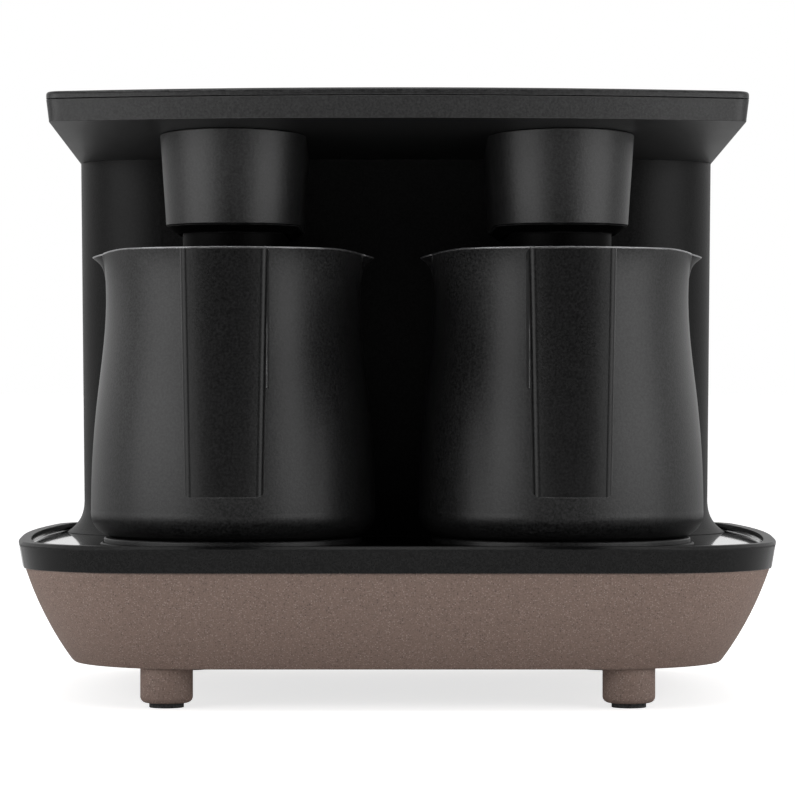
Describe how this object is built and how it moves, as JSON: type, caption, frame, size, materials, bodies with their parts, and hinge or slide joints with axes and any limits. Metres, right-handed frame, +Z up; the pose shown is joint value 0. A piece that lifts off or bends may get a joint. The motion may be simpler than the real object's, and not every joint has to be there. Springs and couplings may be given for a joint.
{
  "type": "two-pot electric coffee maker",
  "caption": "Electric Turkish coffee maker: speckled base, raised-lip deck, overhanging head with sensor arms above spouted pots that pull out by front grips.",
  "frame": {"origin": "on the table, centred under the whole machine with its pots and handles", "axes": "+Z up, -Y towards the user, +X to the user's right"},
  "size_m": [0.2554, 0.21, 0.1999],
  "materials": {
    "speckled_taupe": "fine-grained moulded plastic with small dark and pale specks",
    "satin_black": "fine-textured satin moulding",
    "gloss_black": "smooth moulded lip and tray",
    "hotplate_black": "black non-stick coating",
    "pot_black": "soft satin black coating over steel",
    "grip_black": "fine matt moulding",
    "bracket_steel": "dark coated pressed steel",
    "button_black": "smooth key caps",
    "smoked_lens": "dark translucent window",
    "foot_rubber": "matt rubber",
    "zinc_steel": "zinc-plated screws",
    "heater_steel": "sheathed heating tube",
    "board_laminate": "glass-fibre laminate with solder mask",
    "relay_plastic": "moulded component bodies"
  },
  "bodies": {
    "housing": {"foot_leg_front_left": "speckled_taupe", "foot_pad_front_left": "foot_rubber", "foot_leg_front_right": "speckled_taupe", "foot_pad_front_right": "foot_rubber", "foot_leg_rear_left": "speckled_taupe", "foot_pad_rear_left": "foot_rubber", "foot_leg_rear_right": "speckled_taupe", "foot_pad_rear_right": "foot_rubber", "base_tub": "speckled_taupe", "base_screws": "zinc_steel", "deck": "gloss_black", "power_board": "board_laminate", "terminal_block": "relay_plastic", "column_shell": "satin_black", "rear_cover": "satin_black", "rear_cover_screws": "zinc_steel", "cord_gland": "foot_rubber", "head_shell": "satin_black", "top_cover": "satin_black", "control_board": "board_laminate", "hotplate_left": "hotplate_black", "heater_left": "heater_steel", "thermostat_left": "heater_steel", "relay_left": "relay_plastic", "arm_left": "satin_black", "sensor_housing_left": "gloss_black", "sensor_lens_left": "smoked_lens", "indicator_left": "smoked_lens", "brew_switch_left": "relay_plastic", "cups_switch_left": "relay_plastic", "hotplate_right": "hotplate_black", "heater_right": "heater_steel", "thermostat_right": "heater_steel", "relay_right": "relay_plastic", "arm_right": "satin_black", "sensor_housing_right": "gloss_black", "sensor_lens_right": "smoked_lens", "indicator_right": "smoked_lens", "brew_switch_right": "relay_plastic", "cups_switch_right": "relay_plastic"},
    "pot_left": {"pot_body_left": "pot_black", "handle_bracket_left": "bracket_steel", "handle_grip_left": "grip_black", "handle_screws_left": "zinc_steel"},
    "brew_button_left": {"brew_button_left": "button_black"},
    "cups_button_left": {"cups_button_left": "button_black"},
    "pot_right": {"pot_body_right": "pot_black", "handle_bracket_right": "bracket_steel", "handle_grip_right": "grip_black", "handle_screws_right": "zinc_steel"},
    "brew_button_right": {"brew_button_right": "button_black"},
    "cups_button_right": {"cups_button_right": "button_black"}
  },
  "joints": [
    {"name": "pot_left_pull", "type": "slide", "parent": "housing", "child": "pot_left", "axis": [0, -1, 0], "range_m": [0, 0.15]},
    {"name": "pot_right_pull", "type": "slide", "parent": "housing", "child": "pot_right", "axis": [0, -1, 0], "range_m": [0, 0.15]},
    {"name": "brew_left_press", "type": "slide", "parent": "housing", "child": "brew_button_left", "axis": [0, 0, -1], "range_m": [0, 0.0008], "stiffness_N_per_m": 900, "springref_m": -0.001},
    {"name": "cups_left_press", "type": "slide", "parent": "housing", "child": "cups_button_left", "axis": [0, 0, -1], "range_m": [0, 0.0008], "stiffness_N_per_m": 900, "springref_m": -0.001},
    {"name": "brew_right_press", "type": "slide", "parent": "housing", "child": "brew_button_right", "axis": [0, 0, -1], "range_m": [0, 0.0008], "stiffness_N_per_m": 900, "springref_m": -0.001},
    {"name": "cups_right_press", "type": "slide", "parent": "housing", "child": "cups_button_right", "axis": [0, 0, -1], "range_m": [0, 0.0008], "stiffness_N_per_m": 900, "springref_m": -0.001}
  ]
}
